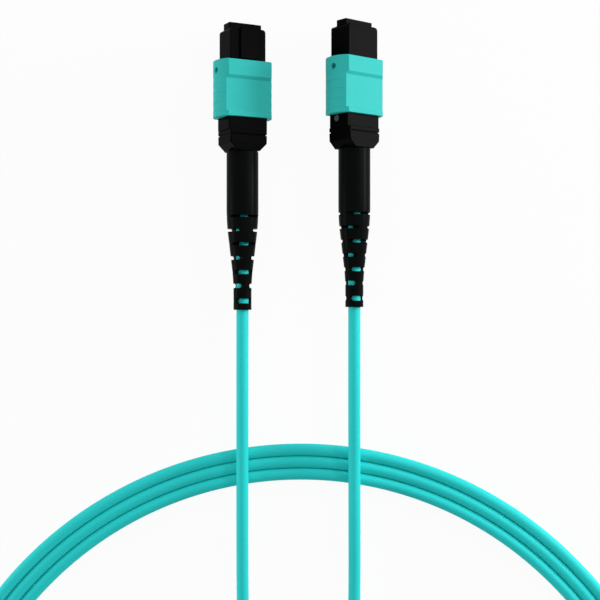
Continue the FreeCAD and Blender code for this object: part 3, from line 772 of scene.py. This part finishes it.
def bowed(half, inset, dent=0.0):
    """The sleeve's section: flat wide faces and bowed narrow sides, with as many points as a plain outline."""
    radius = bow_radius - inset - edge_share * dent
    corner = sleeve_corner if half > waist_limit else waist_corner
    start = math.asin((half - corner) / (radius - corner))
    turn_x, turn_z = bow_centre + (radius - corner) * math.cos(start), half - corner
    points = []
    for number, (x_way, z_way) in enumerate(((1, 1), (-1, 1), (-1, -1), (1, -1))):
        for step in range(corner_steps + 1):
            share = step / corner_steps if number % 2 == 0 else 1 - step / corner_steps
            angle = start + (math.pi / 2 - start) * share
            points.append((x_way * (turn_x + corner * math.cos(angle)), z_way * (turn_z + corner * math.sin(angle))))
        if number % 2:
            for step in range(1, side_steps):
                angle = start * (1 - 2 * step / side_steps)
                low = radius - (1 - edge_share) * dent * (1 - (angle / start)**4)
                points.append((x_way * (bow_centre + low * math.cos(angle)), z_way * low * math.sin(angle)))
    return points


def sleeve():
    """The sleeve without its holes and lugs: grooves and fine lines across its narrow sides, and a plain bore."""
    stations = {station for station, _ in thickness_line}
    for number in range(scallops):
        for step in range(scallop_steps + 1):
            stations.add(scallop_start + number * scallop_pitch + scallop_ridge / 2
                         + (scallop_pitch - scallop_ridge) * step / scallop_steps)
    for number in range(scallops + 1):
        for step in range(-2, 3):
            stations.add(scallop_start + number * scallop_pitch + line_half * step / 2)
    mouth, bore = outline(*(half + end_round for half in bore_half), 0.45), outline(*bore_half, 0.35)
    rings = [(sleeve_start, mouth)]
    for station in sorted(stations):
        for (near, low), (far, high) in zip(thickness_line, thickness_line[1:]):
            if near <= station <= far:
                half = low + (high - low) * (station - near) / (far - near)
        inset = dent = 0.0
        for end in (sleeve_start, sleeve_end):
            near_end = max(1 - abs(station - end) / end_round, 0.0)
            inset += end_round * (1 - math.sqrt(1 - min(near_end, 1.0)**2))
        along = (station - scallop_start) / scallop_pitch
        if 0 < along < scallops:
            off_centre = abs(along % 1.0 - 0.5) * 2 * scallop_pitch / (scallop_pitch - scallop_ridge)
            dent = scallop_depth * max(1 - off_centre**2, 0.0)
        if abs(along - round(along)) * scallop_pitch < line_half and -0.5 < along < scallops + 0.5:
            dent = max(dent, line_depth * (1 - abs(along - round(along)) * scallop_pitch / line_half))
        rings.append((station, bowed(half, inset, dent)))
    rings += [(sleeve_end, mouth), (sleeve_end - end_round, bore), (sleeve_start + end_round, bore)]
    return closed(skin(bmesh.new(), rings))


def side_hole_cutter():
    """Two round pins, one through each narrow side."""
    bm = bmesh.new()
    for side in (-1, 1):
        middle = Matrix.Translation((side * 7.0, hole_station, -side * hole_offset))
        bmesh.ops.create_cone(bm, cap_ends=True, segments=40, radius1=hole_radius, radius2=hole_radius, depth=4.0,
                              matrix=middle @ Matrix.Rotation(math.pi / 2, 4, "Y"))
    return closed(bm)


for letter in plug_places:
    shell = bmesh.new()
    shell.from_mesh(less(sleeve(), side_hole_cutter()))
    for side in (-1, 1):
        bar(shell, lug_start, lug_end, *lug_half, 0.1, side * lug_middle, edge=0.05)
    bmesh.ops.recalc_face_normals(shell, faces=shell.faces)
    mesh = bpy.data.meshes.new("coupling")
    shell.to_mesh(mesh)
    shell.free()
    fit("coupling", mesh, letter, f"sleeve_{letter}", aqua, ["coupling"], sharp=32, even=True)


# ---- Floor, light and camera ----
# A pale table top in a white room. The strongest lamp stands low at the right, with weaker ones above it,
# at the left and behind.

ground = bpy.data.meshes.new("floor")
ground.from_pydata([(-2, -2, 0), (2, -2, 0), (2, 2, 0), (-2, 2, 0)], [], [(0, 1, 2, 3)])
floor = bpy.data.objects.new("floor", ground)
floor.location.z = -0.0002
scene.collection.objects.link(floor)
paper, place = blank("floor_paper")
seen = place.node("ShaderNodeLightPath", None, None, "Is Camera Ray")
mirrored = place.node("ShaderNodeLightPath", None, None, "Is Glossy Ray")
through = place.node("ShaderNodeLightPath", None, None, "Is Transmission Ray")
looked_at = place.maths("MAXIMUM", place.maths("MAXIMUM", seen, mirrored), through)
matt = place.node("ShaderNodeBsdfDiffuse", None, {"Color": (0.8, 0.8, 0.8, 1.0)})
shade = place.node("ShaderNodeBsdfDiffuse", None, {"Color": (1.0, 1.0, 1.0, 1.0)})
white = place.node("ShaderNodeEmission", None, {"Color": (1.0, 1.0, 1.0, 1.0), "Strength": 1.0})
shown = place.node("ShaderNodeMixShader", None, {0: 0.06, 1: white, 2: shade})
place.node("ShaderNodeOutputMaterial", None, {
    "Surface": place.node("ShaderNodeMixShader", None, {0: looked_at, 1: matt, 2: shown})}, None)
ground.materials.append(paper)

room = bpy.data.worlds.new("room")
scene.world = room
room.use_nodes = True
room.node_tree.nodes.clear()
air = Wire(room.node_tree, None)
seen = air.node("ShaderNodeLightPath", None, None, "Is Camera Ray")
mirrored = air.node("ShaderNodeLightPath", None, None, "Is Glossy Ray")
through = air.node("ShaderNodeLightPath", None, None, "Is Transmission Ray")
looked_at = air.maths("MAXIMUM", air.maths("MAXIMUM", seen, mirrored), through)
level = looked_at * 0.62 + 0.38
air.node("ShaderNodeOutputWorld", None, {
    "Surface": air.node("ShaderNodeBackground", None, {"Color": (1.0, 1.0, 1.0, 1.0), "Strength": level})}, None)

# Each lamp: its place, the width and height of its panel, and its power.
lit_spot = Vector((0.0, -0.03, 0.008))
lamps = {
    "right": ((0.42, 0.08, 0.07), (0.16, 0.08), 1.12),
    "high": ((0.42, 0.125, 0.34), (0.08, 0.08), 0.42),
    "left": ((-0.42, -0.09, 0.05), (0.3, 0.1), 0.7),
    "behind": ((0.15, 0.42, 0.3), (0.5, 0.25), 0.75),
}
for label, (spot, (wide, tall), power) in lamps.items():
    lamp = bpy.data.lights.new(label, "AREA")
    lamp.shape, lamp.size, lamp.size_y, lamp.energy = "RECTANGLE", wide, tall, power
    stand = bpy.data.objects.new(label, lamp)
    stand.location = spot
    aim = lit_spot - Vector(spot)
    stand.rotation_euler = aim.to_track_quat("-Z", "Y").to_euler()
    stand.visible_camera = False
    scene.collection.objects.link(stand)

camera = bpy.data.cameras.new("camera")
camera.sensor_width = 36
camera.lens = 70.02
camera.clip_start = 0.01
eye = bpy.data.objects.new("camera", camera)
eye.location = (0.4 * MM, -36.225 * MM, 321.8 * MM)
scene.collection.objects.link(eye)
scene.camera = eye

scene.view_settings.view_transform = "Standard"
